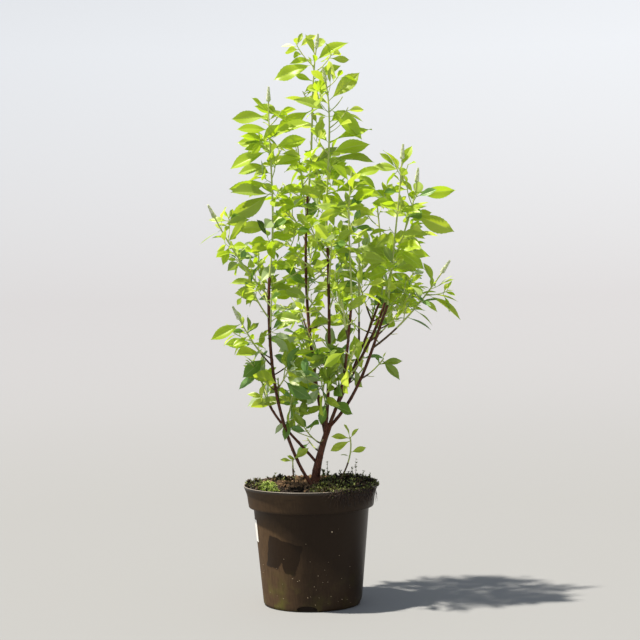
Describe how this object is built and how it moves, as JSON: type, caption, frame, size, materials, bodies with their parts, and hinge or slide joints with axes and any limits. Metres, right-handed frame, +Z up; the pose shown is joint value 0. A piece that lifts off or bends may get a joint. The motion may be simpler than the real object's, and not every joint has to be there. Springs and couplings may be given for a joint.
{
  "type": "potted summersweet shrub",
  "caption": "Upright multi-stemmed flowering shrub with loose leafy shoots and bud spikes, growing in a tapered round nursery pot filled with compost and moss.",
  "frame": {"origin": "middle of the pot's flat underside, on the surface that the pot stands on", "axes": "+Z up along the pot's axis to the crown; +X to the right and -Y to the front of the plant"},
  "size_m": [0.5062, 0.3815, 1.1509],
  "materials": {
    "pot": "moulded, dusty",
    "soil": "moist compost",
    "bright_moss": "matt",
    "dark_moss": "matt",
    "bark": "smooth young bark",
    "foliage": "satin leaf"
  },
  "bodies": {
    "root": {"apex_leader": "foliage", "back_cane": "bark", "back_dark_shoot": "foliage", "back_high_shoot": "foliage", "back_left_shoot": "foliage", "back_low_shoot": "foliage", "back_outer_shoot": "foliage", "back_right_shoot": "foliage", "back_top_shoot": "foliage", "back_upper_shoot": "foliage", "bright_moss": "bright_moss", "crossing_cane": "bark", "crossing_leader": "foliage", "crossing_shoot": "foliage", "front_low_shoot": "foliage", "front_shoot": "foliage", "left_back_shoot": "foliage", "left_basal_shoot": "foliage", "left_cane": "bark", "left_front_shoot": "foliage", "left_high_shoot": "foliage", "left_inner_shoot": "foliage", "left_leader": "foliage", "left_low_shoot": "foliage", "left_middle_shoot": "foliage", "left_moss": "dark_moss", "left_upper_shoot": "foliage", "middle_cane": "bark", "middle_crown_shoot": "foliage", "middle_front_shoot": "foliage", "middle_high_shoot": "foliage", "middle_leader": "foliage", "middle_left_shoot": "foliage", "middle_low_shoot": "foliage", "middle_right_shoot": "foliage", "pot": "pot", "right_back_cane": "bark", "right_back_leader": "foliage", "right_back_shoot": "foliage", "right_back_upper_shoot": "foliage", "right_basal_shoot": "foliage", "right_branch": "foliage", "right_cane": "bark", "right_front_cane": "bark", "right_front_leader": "foliage", "right_inner_cane": "bark", "right_inner_leader": "foliage", "right_inner_shoot": "foliage", "right_leader": "foliage", "right_low_shoot": "foliage", "right_moss": "dark_moss", "right_outer_shoot": "foliage", "right_upper_shoot": "foliage", "soil": "soil", "trunk": "bark", "trunk_back_shoot": "foliage", "trunk_front_shoot": "foliage", "young_leader": "foliage"}
  },
  "joints": []
}
